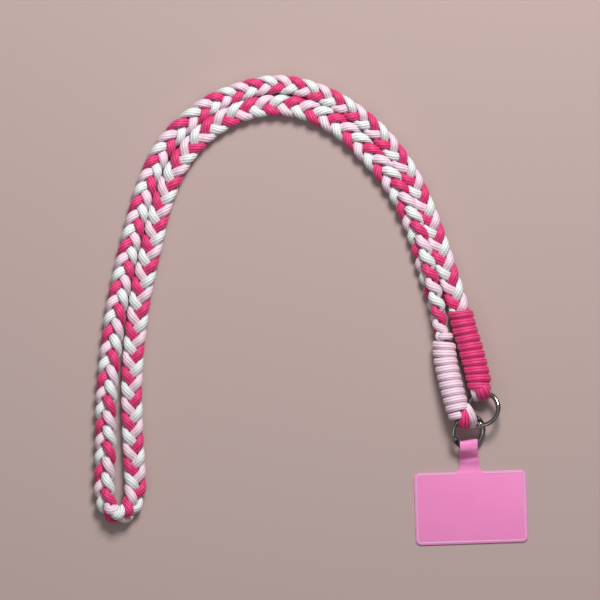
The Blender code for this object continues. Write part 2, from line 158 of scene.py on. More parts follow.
# The plait's route: repeats of the plait so far, x, y, roll in degrees that lifts the left edge as one
# travels, spread as a share of the cords' swing, and body as a share of the cords' section. From 1 to
# 36 its places and rolls are the part's own. Spread and body are chosen for these fuller cords, and the
# ends run on into the grips and narrow there.
BRAID_ROUTE = (
    (-0.80, 72.4, -16.0, -84, 0.50, 0.70),
    (-0.40, 70.6, -8.2, -84, 0.72, 0.88),
    (0, 69.5, 0.4, -80, 0.95, 0.96),
    (1, 63.5, 23.1, -58, 1.00, 1.0),
    (2, 57.0, 46.4, -38, 1.00, 1.0),
    (3, 46.1, 69.2, -22, 1.04, 1.0),
    (4, 30.6, 88.4, -8, 1.06, 1.0),
    (5, 11.8, 104.7, 0, 1.03, 1.0),
    (6, -11.3, 113.6, 0, 0.98, 1.0),
    (7, -35.1, 112.1, -4, 0.97, 1.0),
    (8, -57.3, 100.7, -4, 0.98, 1.0),
    (9, -73.5, 82.5, 8, 0.97, 1.0),
    (10, -83.4, 59.8, 5, 0.97, 1.0),
    (11, -89.1, 36.6, 8, 0.98, 1.0),
    (12, -94.5, 13.0, 8, 1.00, 1.0),
    (13, -98.1, -11.7, 0, 0.98, 1.0),
    (14, -100.1, -36.2, 0, 0.97, 1.0),
    (15, -99.9, -61.7, -4, 0.97, 1.0),
    (16, -98.7, -86.7, -8, 1.00, 1.0),
    (16.5, -98.3, -99.0, -28, 1.00, 1.0),
    (17, -101.9, -111.0, -60, 0.95, 1.0),
    (17.5, -111.1, -112.0, -60, 0.95, 1.0),
    (18, -115.1, -102.0, -37, 0.95, 1.0),
    (19, -114.7, -76.0, -28, 0.97, 1.0),
    (20, -114.4, -50.5, -30, 0.97, 1.0),
    (21, -112.2, -25.5, -18, 0.97, 1.0),
    (22, -108.9, 0.3, -15, 0.97, 1.0),
    (23, -104.2, 24.2, 0, 0.93, 1.0),
    (24, -98.5, 47.7, 0, 0.92, 1.0),
    (25, -91.5, 71.2, -2, 0.92, 1.0),
    (26, -80.9, 92.7, 10, 0.94, 1.0),
    (27, -61.7, 111.1, 10, 0.92, 0.95),
    (28, -42.4, 121.0, 4, 0.88, 0.90),
    (29, -19.6, 125.8, -4, 0.85, 0.90),
    (30, 2.9, 121.2, 0, 0.85, 0.90),
    (31, 23.4, 110.0, 5, 0.87, 0.90),
    (32, 40.7, 94.3, 0, 0.90, 0.90),
    (33, 54.9, 74.1, -3, 0.90, 0.92),
    (34, 64.6, 52.2, 5, 0.91, 0.96),
    (35, 72.2, 30.1, 2, 0.96, 1.0),
    (36, 79.9, 5.8, 8, 0.97, 1.0),
    (36.28, 82.0, -1.0, 5, 0.90, 1.0),
    (36.60, 84.3, -9.0, 5, 0.60, 0.85),
)

# Grip axes: x, y and z of a few points, from the plait's end to the ring's end
GRIP_A_AXIS = (
    (72.9, -14.7, 6.8), (73.6, -26.1, 7.5), (75.6, -35.6, 8.5), (78.1, -45.6, 9.8), (80.7, -54.6, 10.8),
    (82.3, -59.9, 11.2),
)
COLLAR_AXIS = ((73.5, -11.6, 7.6), (73.3, -14.3, 7.6), (73.0, -17.3, 7.6))
GRIP_B_AXIS = (
    (81.4, 2.9, 7.0), (84.2, -8.8, 7.0), (87.3, -18.9, 7.0), (90.4, -30.0, 7.0), (92.8, -40.4, 7.0),
    (93.6, -44.8, 7.0),
)

# Eye cords: x, y, z of the loop's middle line and its width there, out over the wire and back
EYE_A_HOT_ROUTE = (
    (84.8, -53.0, 13.0, 3.0), (84.6, -56.0, 14.2, 4.2), (84.2, -59.2, 14.4, 5.8), (84.1, -62.0, 13.2, 6.5),
    (84.0, -64.3, 10.4, 6.0), (83.5, -62.4, 7.6, 5.0), (83.0, -59.6, 7.4, 4.2), (82.0, -55.0, 7.4, 4.2),
)
EYE_A_LIGHT_ROUTE = (
    (85.0, -52.2, 12.6, 4.4), (86.4, -54.6, 13.9, 4.8), (87.8, -57.6, 13.7, 5.0), (88.9, -60.4, 12.2, 4.8),
    (89.4, -63.8, 7.4, 4.2), (87.9, -63.0, 2.6, 4.0), (85.6, -60.4, 1.8, 4.0), (82.4, -56.8, 4.6, 4.0),
)
EYE_B_HOT_ROUTE = (
    (92.0, -39.0, 10.6, 5.0), (93.4, -42.0, 12.0, 6.6), (94.4, -44.2, 12.0, 7.4), (95.2, -46.4, 10.6, 7.6),
    (95.7, -48.2, 7.0, 6.8), (95.5, -47.2, 3.3, 4.8), (94.7, -44.8, 2.5, 4.0), (93.4, -40.0, 4.0, 4.0),
)
EYE_B_LIGHT_ROUTE = (
    (89.6, -40.6, 8.6, 4.4), (89.8, -43.2, 9.4, 4.6), (90.2, -45.4, 9.2, 4.6), (90.7, -47.4, 8.0, 4.4),
    (91.2, -49.2, 5.3, 4.2), (90.8, -48.4, 2.1, 4.0), (90.0, -46.0, 1.6, 4.0), (89.4, -41.0, 3.4, 4.0),
)


# Materials

def linear(code):
    """A linear colour from an sRGB hex code."""
    parts = [int(code[i:i + 2], 16) / 255 for i in (1, 3, 5)]
    return (*(p / 12.92 if p <= 0.04045 else ((p + 0.055) / 1.055) ** 2.4 for p in parts), 1.0)


def add(tree, kind, inputs=None, **settings):
    """Adds one node with its settings. An input is a value, or an output socket to link."""
    result = tree.nodes.new(kind)
    for name, value in settings.items():
        setattr(result, name, value)
    for key, value in (inputs or {}).items():
        if isinstance(value, bpy.types.NodeSocket):
            tree.links.new(value, result.inputs[key])
        else:
            result.inputs[key].default_value = value
    return result


def new_material(name, roughness, **values):
    """A material with its Principled shader's plain values set."""
    result = bpy.data.materials.new(name)
    result.use_nodes = True
    shader = result.node_tree.nodes["Principled BSDF"]
    shader.inputs["Roughness"].default_value = roughness
    for key, value in values.items():
        shader.inputs[key.replace("_", " ")].default_value = value
    return result, result.node_tree, shader


def knitted_polyester(name, ridge, painted_groove_shade, shade):
    """Knitted polyester craft cord: matt, softly glossy along its ribs, with shade painted into its colour
    between them.
    """
    result, tree, shader = new_material(
        name, 0.55, Sheen_Weight=0.2, Sheen_Roughness=0.45, Specular_IOR_Level=0.5,
    )
    along = add(tree, "ShaderNodeUVMap", uv_map="along_cord")
    split = add(tree, "ShaderNodeSeparateXYZ", {0: along.outputs[0]})
    wales = add(tree, "ShaderNodeMath", {0: split.outputs[1], 1: float(RIBS_ROUND)}, operation="MULTIPLY")
    half_turn = add(tree, "ShaderNodeMath", {0: wales.outputs[0], 1: math.pi}, operation="MULTIPLY")
    wave = add(tree, "ShaderNodeMath", {0: half_turn.outputs[0]}, operation="SINE")
    rib = add(tree, "ShaderNodeMath", {0: wave.outputs[0]}, operation="ABSOLUTE")
    wale = add(tree, "ShaderNodeMath", {0: wales.outputs[0]}, operation="FLOOR")
    courses = add(tree, "ShaderNodeMath", {0: split.outputs[0], 1: 2 / STITCH_LENGTH}, operation="MULTIPLY")
    offset = add(tree, "ShaderNodeMath", {0: courses.outputs[0], 1: wale.outputs[0]}, operation="ADD")
    turned = add(tree, "ShaderNodeMath", {0: offset.outputs[0], 1: math.pi}, operation="MULTIPLY")
    stitch = add(tree, "ShaderNodeMath", {0: turned.outputs[0]}, operation="SINE")
    relief = add(
        tree, "ShaderNodeMath", {0: stitch.outputs[0], 1: STITCH_SHARE, 2: 0.0}, operation="MULTIPLY_ADD",
    )
    height = add(tree, "ShaderNodeMath", {0: rib.outputs[0], 1: relief.outputs[0]}, operation="ADD")
    place = add(tree, "ShaderNodeTexCoord")
    patches = add(
        tree, "ShaderNodeTexNoise",
        {"Vector": place.outputs["Object"], "Scale": 1 / (WORN_PATCH * MM), "Detail": 2.0},
    )
    wear = add(
        tree, "ShaderNodeMix", {0: patches.outputs[0], 6: linear(ridge), 7: linear(shade)}, data_type="RGBA",
    )
    # Painted shade: the colour turns to the darker groove colour where the ribs and stitches dip
    depth = add(
        tree, "ShaderNodeMapRange", {0: height.outputs[0], 1: 0.0, 2: 0.75, 3: 0.0, 4: 1.0},
        interpolation_type="SMOOTHSTEP",
    )
    colour = add(
        tree, "ShaderNodeMix", {0: depth.outputs[0], 6: linear(painted_groove_shade), 7: wear.outputs[2]}, data_type="RGBA",
    )
    bump = add(
        tree, "ShaderNodeBump", {"Strength": 0.7, "Distance": RIB_RELIEF * MM, "Height": height.outputs[0]},
    )
    tree.links.new(colour.outputs[2], shader.inputs["Base Color"])
    tree.links.new(bump.outputs[0], shader.inputs["Normal"])
    return result


def polished_steel(name):
    """Polished nickel-plated steel: a clear mirror with the faint ripple of barrel polishing."""
    result, tree, shader = new_material(name, 0.16, Metallic=1.0)
    shader.inputs["Base Color"].default_value = linear("#9C9A98")
    place = add(tree, "ShaderNodeTexCoord")
    ripple = add(
        tree, "ShaderNodeTexNoise",
        {"Vector": place.outputs["Object"], "Scale": 1 / (STEEL_RIPPLE * MM), "Detail": 2.0},
    )
    rough = add(tree, "ShaderNodeMapRange", {0: ripple.outputs[0], 3: 0.06, 4: 0.16})
    bump = add(
        tree, "ShaderNodeBump",
        {"Strength": 0.12, "Distance": STEEL_RELIEF * MM, "Height": ripple.outputs[0]},
    )
    tree.links.new(rough.outputs[0], shader.inputs["Roughness"])
    tree.links.new(bump.outputs[0], shader.inputs["Normal"])
    return result


def moulded_tpu(name, dark, pale):
    """Moulded soft polyurethane: satin, a little see-through to light, with a fine mould grain."""
    result, tree, shader = new_material(
        name, 0.42, Subsurface_Weight=0.45, Subsurface_Scale=0.003, Specular_IOR_Level=0.45,
    )
    shader.inputs["Subsurface Radius"].default_value = (1.0, 0.35, 0.5)
    place = add(tree, "ShaderNodeTexCoord")
    cloud = add(
        tree, "ShaderNodeTexNoise",
        {"Vector": place.outputs["Object"], "Scale": 1 / (TPU_CLOUD * MM), "Detail": 3.0},
    )
    colour = add(
        tree, "ShaderNodeMix", {0: cloud.outputs[0], 6: linear(dark), 7: linear(pale)}, data_type="RGBA",
    )
    grain = add(
        tree, "ShaderNodeTexNoise",
        {"Vector": place.outputs["Object"], "Scale": 1 / (TPU_GRAIN * MM), "Detail": 2.0},
    )
    rough = add(tree, "ShaderNodeMapRange", {0: grain.outputs[0], 3: 0.36, 4: 0.52})
    bump = add(
        tree, "ShaderNodeBump",
        {"Strength": 0.15, "Distance": TPU_RELIEF * MM, "Height": grain.outputs[0]},
    )
    tree.links.new(colour.outputs[2], shader.inputs["Base Color"])
    tree.links.new(rough.outputs[0], shader.inputs["Roughness"])
    tree.links.new(bump.outputs[0], shader.inputs["Normal"])
    return result


# Each finish: the cord's colour, the painted shade in its grooves, and a tone for random patches
CORD_FINISHES = {
    "hot_pink": knitted_polyester("hot_pink_cord", "#F53F85", "#A4104C", "#DF2C75"),
    "light_pink": knitted_polyester("light_pink_cord", "#F7DFEB", "#D3ACC3", "#F1D4E3"),
    "white": knitted_polyester("white_cord", "#F1F5F4", "#C0CACA", "#E8EEED"),
}
STEEL = polished_steel("polished_steel")
TPU = moulded_tpu("moulded_tpu", "#F986C0", "#FD90C9")
# The rim's paler pink is a painted highlight along the bead round the patch
TPU_RIM_HIGHLIGHT = moulded_tpu("moulded_tpu_rim_highlight", "#FBA4D0", "#FDB0D9")


# Making pieces

def place_piece(name, bm, body, slot, finish, *nodes):
    """An object from a bmesh in millimetres: it rides on a body and stands for CAD nodes."""
    bmesh.ops.translate(bm, verts=bm.verts, vec=TABLE_SHIFT)
    bmesh.ops.scale(bm, verts=bm.verts, vec=(MM, MM, MM))
    mesh = bpy.data.meshes.new(name)
    bm.to_mesh(mesh)
    bm.free()
    mesh.materials.append(finish)
    mesh.shade_smooth()
    mesh.set_sharp_from_angle(angle=math.radians(40))
    piece = bpy.data.objects.new(name, mesh)
    bpy.context.scene.collection.objects.link(piece)
    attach(piece, body)
    if nodes:
        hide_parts(*nodes)
    return piece


def smooth_point(rows, at):
    """The point of a smooth curve through rows of (parameter, values...) at one parameter."""
    keys = [row[0] for row in rows]
    last = len(rows) - 2
    index = min(max(sum(key <= at for key in keys) - 1, 0), last)

    def slope(i):
        low = max(i - 1, 0)
        high = min(i + 1, len(rows) - 1)
        return [(b - a) / (keys[high] - keys[low]) for a, b in zip(rows[low][1:], rows[high][1:])]

    span = keys[index + 1] - keys[index]
    t = (at - keys[index]) / span
    start, end = rows[index][1:], rows[index + 1][1:]
    return [
        (1 + 2 * t) * (1 - t) ** 2 * a + t * (1 - t) ** 2 * span * da
        + t * t * (3 - 2 * t) * b + t * t * (t - 1) * span * db
        for a, b, da, db in zip(start, end, slope(index), slope(index + 1))
    ]


def path_rows(points):
    """Rows of (length so far, values...) for a list of points, for smooth_point."""
    rows = [(0.0, *points[0])]
    for before, point in zip(points, points[1:]):
        rows.append((rows[-1][0] + (Vector(point[:3]) - Vector(before[:3])).length, *point))
    return rows


def cord_section(middle, across, through, width, thickness, squareness=2.0):
    """A ring of points round a cord that is pressed flat. A squareness over 2 fills its corners."""
    ring = []
    for index in range(CORD_SIDES):
        angle = 2 * math.pi * index / CORD_SIDES
        c, s = math.cos(angle), math.sin(angle)
        power = 2 / squareness
        x = math.copysign(abs(c) ** power, c) * width / 2
        y = math.copysign(abs(s) ** power, s) * thickness / 2
        ring.append(middle + across * x + through * y)
    return ring


def cord_mesh(rings):
    """A closed cord through rings of points: a grid, rolled into a tube, with a UV map along it."""
    steps = len(rings) - 1
    bm = bmesh.new()
    bmesh.ops.create_grid(bm, x_segments=steps, y_segments=CORD_SIDES, size=0.5)
    lengths = [0.0]
    for before, ring in zip(rings, rings[1:]):
        lengths.append(lengths[-1] + (sum(ring, Vector()) - sum(before, Vector())).length / CORD_SIDES)
    places = {
        vert: (round((vert.co.x + 0.5) * steps), round((vert.co.y + 0.5) * CORD_SIDES)) for vert in bm.verts
    }
    layer = bm.loops.layers.uv.new("along_cord")
    for face in bm.faces:
        for loop in face.loops:
            step, side = places[loop.vert]
            loop[layer].uv = (lengths[step], side / CORD_SIDES)
    for vert, (step, side) in places.items():
        vert.co = rings[step][side % CORD_SIDES]
    bmesh.ops.remove_doubles(bm, verts=bm.verts, dist=0.0001)
    ends = [edge for edge in bm.edges if edge.is_boundary]
    bmesh.ops.holes_fill(bm, edges=ends, sides=0)
    bmesh.ops.recalc_face_normals(bm, faces=bm.faces)
    return bm


# The plait

def braid_frame(at):
    """The plait's middle, lateral and face directions, spread and body at a count of repeats."""
    x, y, roll, spread, body = smooth_point(BRAID_ROUTE, at)
    step = 0.01
    ahead = smooth_point(BRAID_ROUTE, at + step)
    behind = smooth_point(BRAID_ROUTE, at - step)
    heading = Vector((ahead[0] - behind[0], ahead[1] - behind[1], 0.0)).normalized()
    left = UP.cross(heading)
    turn = math.radians(roll)
    lateral = left * math.cos(turn) + UP * math.sin(turn)
    face = UP * math.cos(turn) - left * math.sin(turn)
    upright = abs(BRAID_WIDTH / 2 * math.sin(turn)) ** LEAN_POWER
    flat = abs(BRAID_THICKNESS / 2 * math.cos(turn)) ** LEAN_POWER
    height = (upright + flat) ** (1 / LEAN_POWER)
    return Vector((x, y, height)), lateral, face, spread, body


def strand_point(at, offset):
    """A strand's middle, phase and body and the plait's directions at a count of repeats."""
    middle, lateral, face, spread, body = braid_frame(at)
    phase = 2 * math.pi * at + LOBE_PHASE + offset
    point = middle + lateral * SWING * spread * math.sin(phase) - face * RISE * math.sin(2 * phase)
    return point, phase, body, lateral, face


def strand_ring(at, offset):
    """The strand's section at a count of repeats: it turns over at each edge like a ribbon."""
    step = 0.005
    middle, phase, body, lateral, face = strand_point(at, offset)
    heading = (strand_point(at + step, offset)[0] - strand_point(at - step, offset)[0]).normalized()
    lean = math.pi / 2 * (1 + math.cos(phase))
    through = lateral * math.sin(lean) + face * math.cos(lean)
    through = (through - heading * through.dot(heading)).normalized()
    across = through.cross(heading)
    return cord_section(middle, across, through, CORD_WIDTH * body, CORD_THICKNESS * body)


def build_strand(colour, offset):
    """One strand of the plait, from inside one grip to inside the other."""
    start, end = BRAID_ROUTE[0][0], BRAID_ROUTE[-1][0]
    count = round((end - start) * STEPS_PER_REPEAT)
    stations = [start + (end - start) * index / count for index in range(count + 1)]
    piece = place_piece(
        colour + "_strand", cord_mesh([strand_ring(at, offset) for at in stations]), "strap", colour,
        CORD_FINISHES[colour], "strand_" + colour,
    )
    path = [(strand_point(at, offset)[0] + TABLE_SHIFT) * MM for at in stations[::2]]


# The grips

def axis_frame(rows, length):
    """The point, heading, side and upper directions of a grip's axis at a length along it."""
    step = 0.3
    point = Vector(smooth_point(rows, length))
    ahead = Vector(smooth_point(rows, length + step)) - Vector(smooth_point(rows, length - step))
    heading = ahead.normalized()
    side = UP.cross(heading).normalized()
    return point, heading, side, heading.cross(side)


def winding(axis, start, length, turns, radius, first_angle, skew, width, ends):
    """Rings of a cord wound round an axis, from its first angle on, out to a radius."""
    rows = path_rows(axis)
    radius -= TURN_THICKNESS / 2
    count = round(turns * TURN_STATIONS)

    def middle(share):
        point, heading, side, upper = axis_frame(rows, start + length * share)
        angle = first_angle - 2 * math.pi * turns * share
        out = side * math.cos(angle) + upper * math.sin(angle)
        tip = skew[0] + (skew[1] - skew[0]) * share
        end = min(share * turns * 3, 1.0) * (1 - ends[0]) + ends[0]
        end *= min((1 - share) * turns * 3, 1.0) * (1 - ends[1]) + ends[1]
        return point + out * radius * end + heading * tip * radius * math.cos(angle), out

    rings = []
    for index in range(count + 1):
        share = index / count
        place, out = middle(share)
        ahead = (middle(min(share + 0.001, 1.0))[0] - middle(max(share - 0.001, 0.0))[0]).normalized()
        through = (out - ahead * out.dot(ahead)).normalized()
        across = through.cross(ahead)
        rings.append(cord_section(place, across, through, width, TURN_THICKNESS, TURN_SQUARENESS))
    return rings


def rounded_ends(rings, length=1.2):
    """Closes a cord's two ends with a short round taper."""
    def taper(ring, before):
        middle = sum(ring, Vector()) / len(ring)
        ahead = (middle - sum(before, Vector()) / len(before)).normalized()
        shares = ((0.35, 0.94), (0.65, 0.76), (0.87, 0.49), (1.0, 0.12))
        return [
            [middle + (point - middle) * size + ahead * length * share for point in ring]
            for share, size in shares
        ]

    return taper(rings[0], rings[1])[::-1] + rings + taper(rings[-1], rings[-2])


def build_grip(colour, axis, pitch, diameter, skew, ends):
    """A whipped grip: one cord wound along the whole of its axis."""
    total = path_rows(axis)[-1][0]
    rings = winding(
        axis, pitch / 2, total - pitch, total / pitch - 1, diameter / 2, WINDING_START, skew,
        pitch - TURN_PLAY, ends,
    )
    grip = cord_mesh(rounded_ends(rings))
    place_piece(colour + "_grip", grip, "strap", colour, CORD_FINISHES[colour], "grip_" + colour)


def build_collar():
    """The small first turn beside the light pink grip."""
    rings = winding(
        COLLAR_AXIS, COLLAR_START, COLLAR_LENGTH, 1.0, COLLAR_RADIUS, COLLAR_ANGLE, COLLAR_SKEW,
        COLLAR_TURN_WIDTH, COLLAR_ENDS,
    )
    collar = cord_mesh(rounded_ends(rings))
    place_piece("light_pink_collar", collar, "strap", "light_pink", CORD_FINISHES["light_pink"])


def build_eye(name, colour, route, node, thickness):
    """One cord of an eye: out over the wires of the rings and back under them."""
    rows = path_rows(route)
    total = rows[-1][0]
    out = Vector(route[4][:3]) - Vector(route[1][:3])
    across = Vector((-out.y, out.x, 0.0)).normalized()
    step = 0.2
    rings = []
    for index in range(EYE_STATIONS + 1):
        length = total * index / EYE_STATIONS
        *point, width = smooth_point(rows, length)
        ahead = Vector(smooth_point(rows, length + step)[:3]) - Vector(smooth_point(rows, length - step)[:3])
        through = ahead.cross(across).normalized()
        rings.append(cord_section(Vector(point), across, through, width, thickness, EYE_SQUARENESS))
    place_piece(name, cord_mesh(rings), "strap", colour, CORD_FINISHES[colour], node)


# The rings

def ring_frame(is_b):
    """A ring's place and directions: x along the link, y across it and tilted, z square to it."""
    place = RING_A_PLACE + LINK_DIRECTION * (RING_REACH if is_b else 0.0)
    tilt = -RING_B_TILT if is_b else RING_A_TILT
    along = LINK_DIRECTION.to_3d()
    across = UP.cross(along) * math.cos(tilt) + UP * math.sin(tilt)
    result = Matrix((along, across, along.cross(across))).transposed().to_4x4()
    result.translation = (place.x, place.y, RING_B_HEIGHT if is_b else RING_A_HEIGHT)
    return result


def add_arc(bm, start, end, wire, start_slant=0.0, end_slant=0.0):
    """Spins a wire along an arc of the ring's middle line. A slant leans an end's cut."""
    radius = RING_CENTRE_DIAMETER / 2
    steps = max(round(abs(end - start) / (2 * math.pi) * 96), 6)
    upright = Matrix.Translation((radius, 0, 0)) @ Matrix.Rotation(math.pi / 2, 4, "X")
    section = bmesh.ops.create_circle(bm, segments=18, radius=wire / 2, matrix=upright)["verts"]
    bmesh.ops.rotate(bm, verts=section, cent=(0, 0, 0), matrix=Matrix.Rotation(start, 3, "Z"))
    edges = list({edge for vert in section for edge in vert.link_edges})
    spun = bmesh.ops.spin(
        bm, geom=edges, cent=(0, 0, 0), axis=(0, 0, 1), angle=end - start, steps=steps,
    )["geom_last"]
    last = [item for item in spun if isinstance(item, bmesh.types.BMVert)]
    for verts, slant in ((section, start_slant), (last, end_slant)):
        for vert in verts:
            offset = vert.co.to_2d().length - radius
            vert.co = Matrix.Rotation(slant * offset, 3, "Z") @ vert.co
        bmesh.ops.contextual_create(bm, geom=verts)


def add_disc(bm, diameter, depth, place, rim):
    """Adds a round plate with its rims eased."""
    verts = bmesh.ops.create_cone(
        bm, cap_ends=True, segments=28, radius1=diameter / 2, radius2=diameter / 2, depth=depth,
        matrix=Matrix.Translation(place),
    )["verts"]
    edges = {edge for vert in verts for edge in vert.link_edges}
    rims = [edge for edge in edges if abs(edge.verts[0].co.z - edge.verts[1].co.z) < 1e-6]
    bmesh.ops.bevel(bm, geom=rims, offset=rim, segments=2, profile=0.5, affect="EDGES", material=-1)


def add_block(bm, size, matrix):
    """Adds a block with eased edges."""
    verts = bmesh.ops.create_cube(bm, size=1.0, matrix=matrix @ Matrix.Diagonal((*size, 1.0)))["verts"]
    edges = list({edge for vert in verts for edge in vert.link_edges})
    bmesh.ops.bevel(bm, geom=edges, offset=BLOCK_EASE, segments=2, profile=0.5, affect="EDGES", material=-1)


def build_ring(letter, is_b, hinge, tip):
    """A spring ring: the hook with its fork and pin, and the gate with its tongue."""
    place = ring_frame(is_b)
    radius = RING_CENTRE_DIAMETER / 2
    turn = 1 if tip > hinge else -1
    pin = Vector((radius * math.cos(hinge), radius * math.sin(hinge), 0.0))
    along_gate = Matrix.Translation(pin) @ Matrix.Rotation(hinge + turn * math.pi / 2, 4, "Z")
    swing = abs(tip - hinge) / 2
    slant = -turn * math.tan(swing) / radius
    slot_radius = KNUCKLE_DIAMETER / 2 + HINGE_GAP

    hook = bmesh.new()
    hook_start = tip + turn * TIP_GAP / math.cos(swing) / radius
    hook_end = hinge + turn * (2 * math.pi - (slot_radius - 0.2) / radius)
    add_arc(hook, hook_start, hook_end, RING_WIRE, start_slant=slant)
    plate = (RING_WIRE - TONGUE_THICKNESS) / 2 - HINGE_GAP
    level = TONGUE_THICKNESS / 2 + HINGE_GAP + plate / 2
    for side in (1, -1):
        add_disc(hook, KNUCKLE_DIAMETER, plate, pin + UP * side * level, PLATE_EASE)
        arm = along_gate @ Matrix.Translation((-slot_radius / 2, 0, side * level))
        add_block(hook, (slot_radius + 0.8, RING_WIRE * 0.82, plate), arm)
        dome = Matrix.Translation(pin + UP * side * (level + plate / 2)) @ Matrix.Diagonal((1, 1, 0.5, 1))
        bmesh.ops.create_uvsphere(hook, u_segments=20, v_segments=10, radius=PIN_HEAD_RADIUS, matrix=dome)
    bmesh.ops.recalc_face_normals(hook, faces=hook.faces)
    bmesh.ops.transform(hook, matrix=place, verts=hook.verts)
    place_piece(f"ring_{letter}_wire", hook, "strap", "steel", STEEL, f"ring_{letter}_hook")

    gate = bmesh.new()
    add_arc(gate, hinge + turn * (slot_radius + HINGE_GAP) / radius, tip, GATE_WIRE, end_slant=slant)
    tongue = along_gate @ Matrix.Translation((slot_radius / 2 + 0.35, 0, 0))
    add_block(gate, (slot_radius + 0.9, GATE_WIRE * 0.8, TONGUE_THICKNESS), tongue)
    add_disc(gate, KNUCKLE_DIAMETER - 2 * HINGE_GAP, TONGUE_THICKNESS, pin, TONGUE_EASE)
    bmesh.ops.recalc_face_normals(gate, faces=gate.faces)
    bmesh.ops.transform(gate, matrix=place, verts=gate.verts)
    place_piece(f"ring_{letter}_sprung_gate", gate, f"gate_{letter}", "steel", STEEL, f"ring_{letter}_gate")


# The patch

def wire_under_tab(patch_frame):
    """The first ring's wire across the tab: its reach at the left side, the middle and the right
    side, its height there and its half depth in the tab's plane."""
    to_patch = patch_frame.inverted()
    place = ring_frame(False)
    radius = RING_CENTRE_DIAMETER / 2
    angles = [math.radians(angle) for angle in range(110, 290, 2)]
    points = [to_patch @ (place @ Vector((radius * math.cos(a), radius * math.sin(a), 0.0))) for a in angles]
    result = []
    for across in (-TAB_WIDTH / 2, 0.0, TAB_WIDTH / 2):
        nearest = min(range(1, len(points) - 1), key=lambda index: abs(points[index].x - TAB_OFFSET - across))
        run = (points[nearest + 1] - points[nearest - 1]).to_2d().normalized()
        result.append((points[nearest].y, points[nearest].z, RING_WIRE / 2 / abs(run.x)))
    return result


def tab_profile(share, wires):
    """The tab's middle surface at a share of its width: over the wire, round it and back under."""
    # The steps between the points are the tab's own bends, in millimetres
    left, middle, right = wires
    side = (left[0] * (1 - share) + right[0] * share, left[1] * (1 - share) + right[1] * share)
    edge = PATCH_DEPTH / 2
    wrap = max(wire[2] for wire in wires) * 0.9 + WRAP_GAP + PATCH_WALL / 2
    low = PATCH_WALL / 2
    height = max(side[1], wrap + low)
    fold = max(side[0] - 0.6, edge + TAB_REACH - low - wrap)
    rise = min(side[0], middle[0]) - wrap
    crest = height + wrap - 0.3
    doubled = low + PATCH_WALL + FOLD_GAP
    start = edge + TAB_FILLET
    points = [(start, low), (start + 1.5, low + 0.25), (start + 3.6, doubled), (start + 5.6, doubled + 0.5)]
    points += [((start + 5.6 + rise) / 2 + 0.2, (doubled + 0.5 + crest) / 2 - 0.2), (rise + 0.3, crest - 0.8)]
    points += [(rise + 1.6, crest - 0.1), (fold, crest)]
    for angle in (60, 30, 0, -30, -60, -90):
        turn = math.radians(angle)
        points.append((fold + wrap * math.cos(turn), height - 0.15 + (wrap - 0.15) * math.sin(turn)))
    points += [((start + 4.0 + fold) / 2, low + 0.1), (start + 4.6, low), (start + 3.0, low)]
    return points


def arc_points(centre, radius, start, end, count):
    """Points round an arc in the table's plane, angles in degrees."""
    angles = [math.radians(start + (end - start) * index / count) for index in range(count + 1)]
    return [Vector((centre[0] + radius * math.cos(a), centre[1] + radius * math.sin(a), 0.0)) for a in angles]


def corner_arcs(inset):
    """The patch's corner arcs at an inset: lower right, lower left, upper left and upper right."""
    x, y = PATCH_WIDTH / 2 - PATCH_CORNER, PATCH_DEPTH / 2 - PATCH_CORNER
    radius = PATCH_CORNER - inset
    return (
        arc_points((x, -y), radius, 0, -90, 8), arc_points((-x, -y), radius, 270, 180, 8),
        arc_points((-x, y), radius, 180, 90, 8), arc_points((x, y), radius, 90, 0, 8),
    )


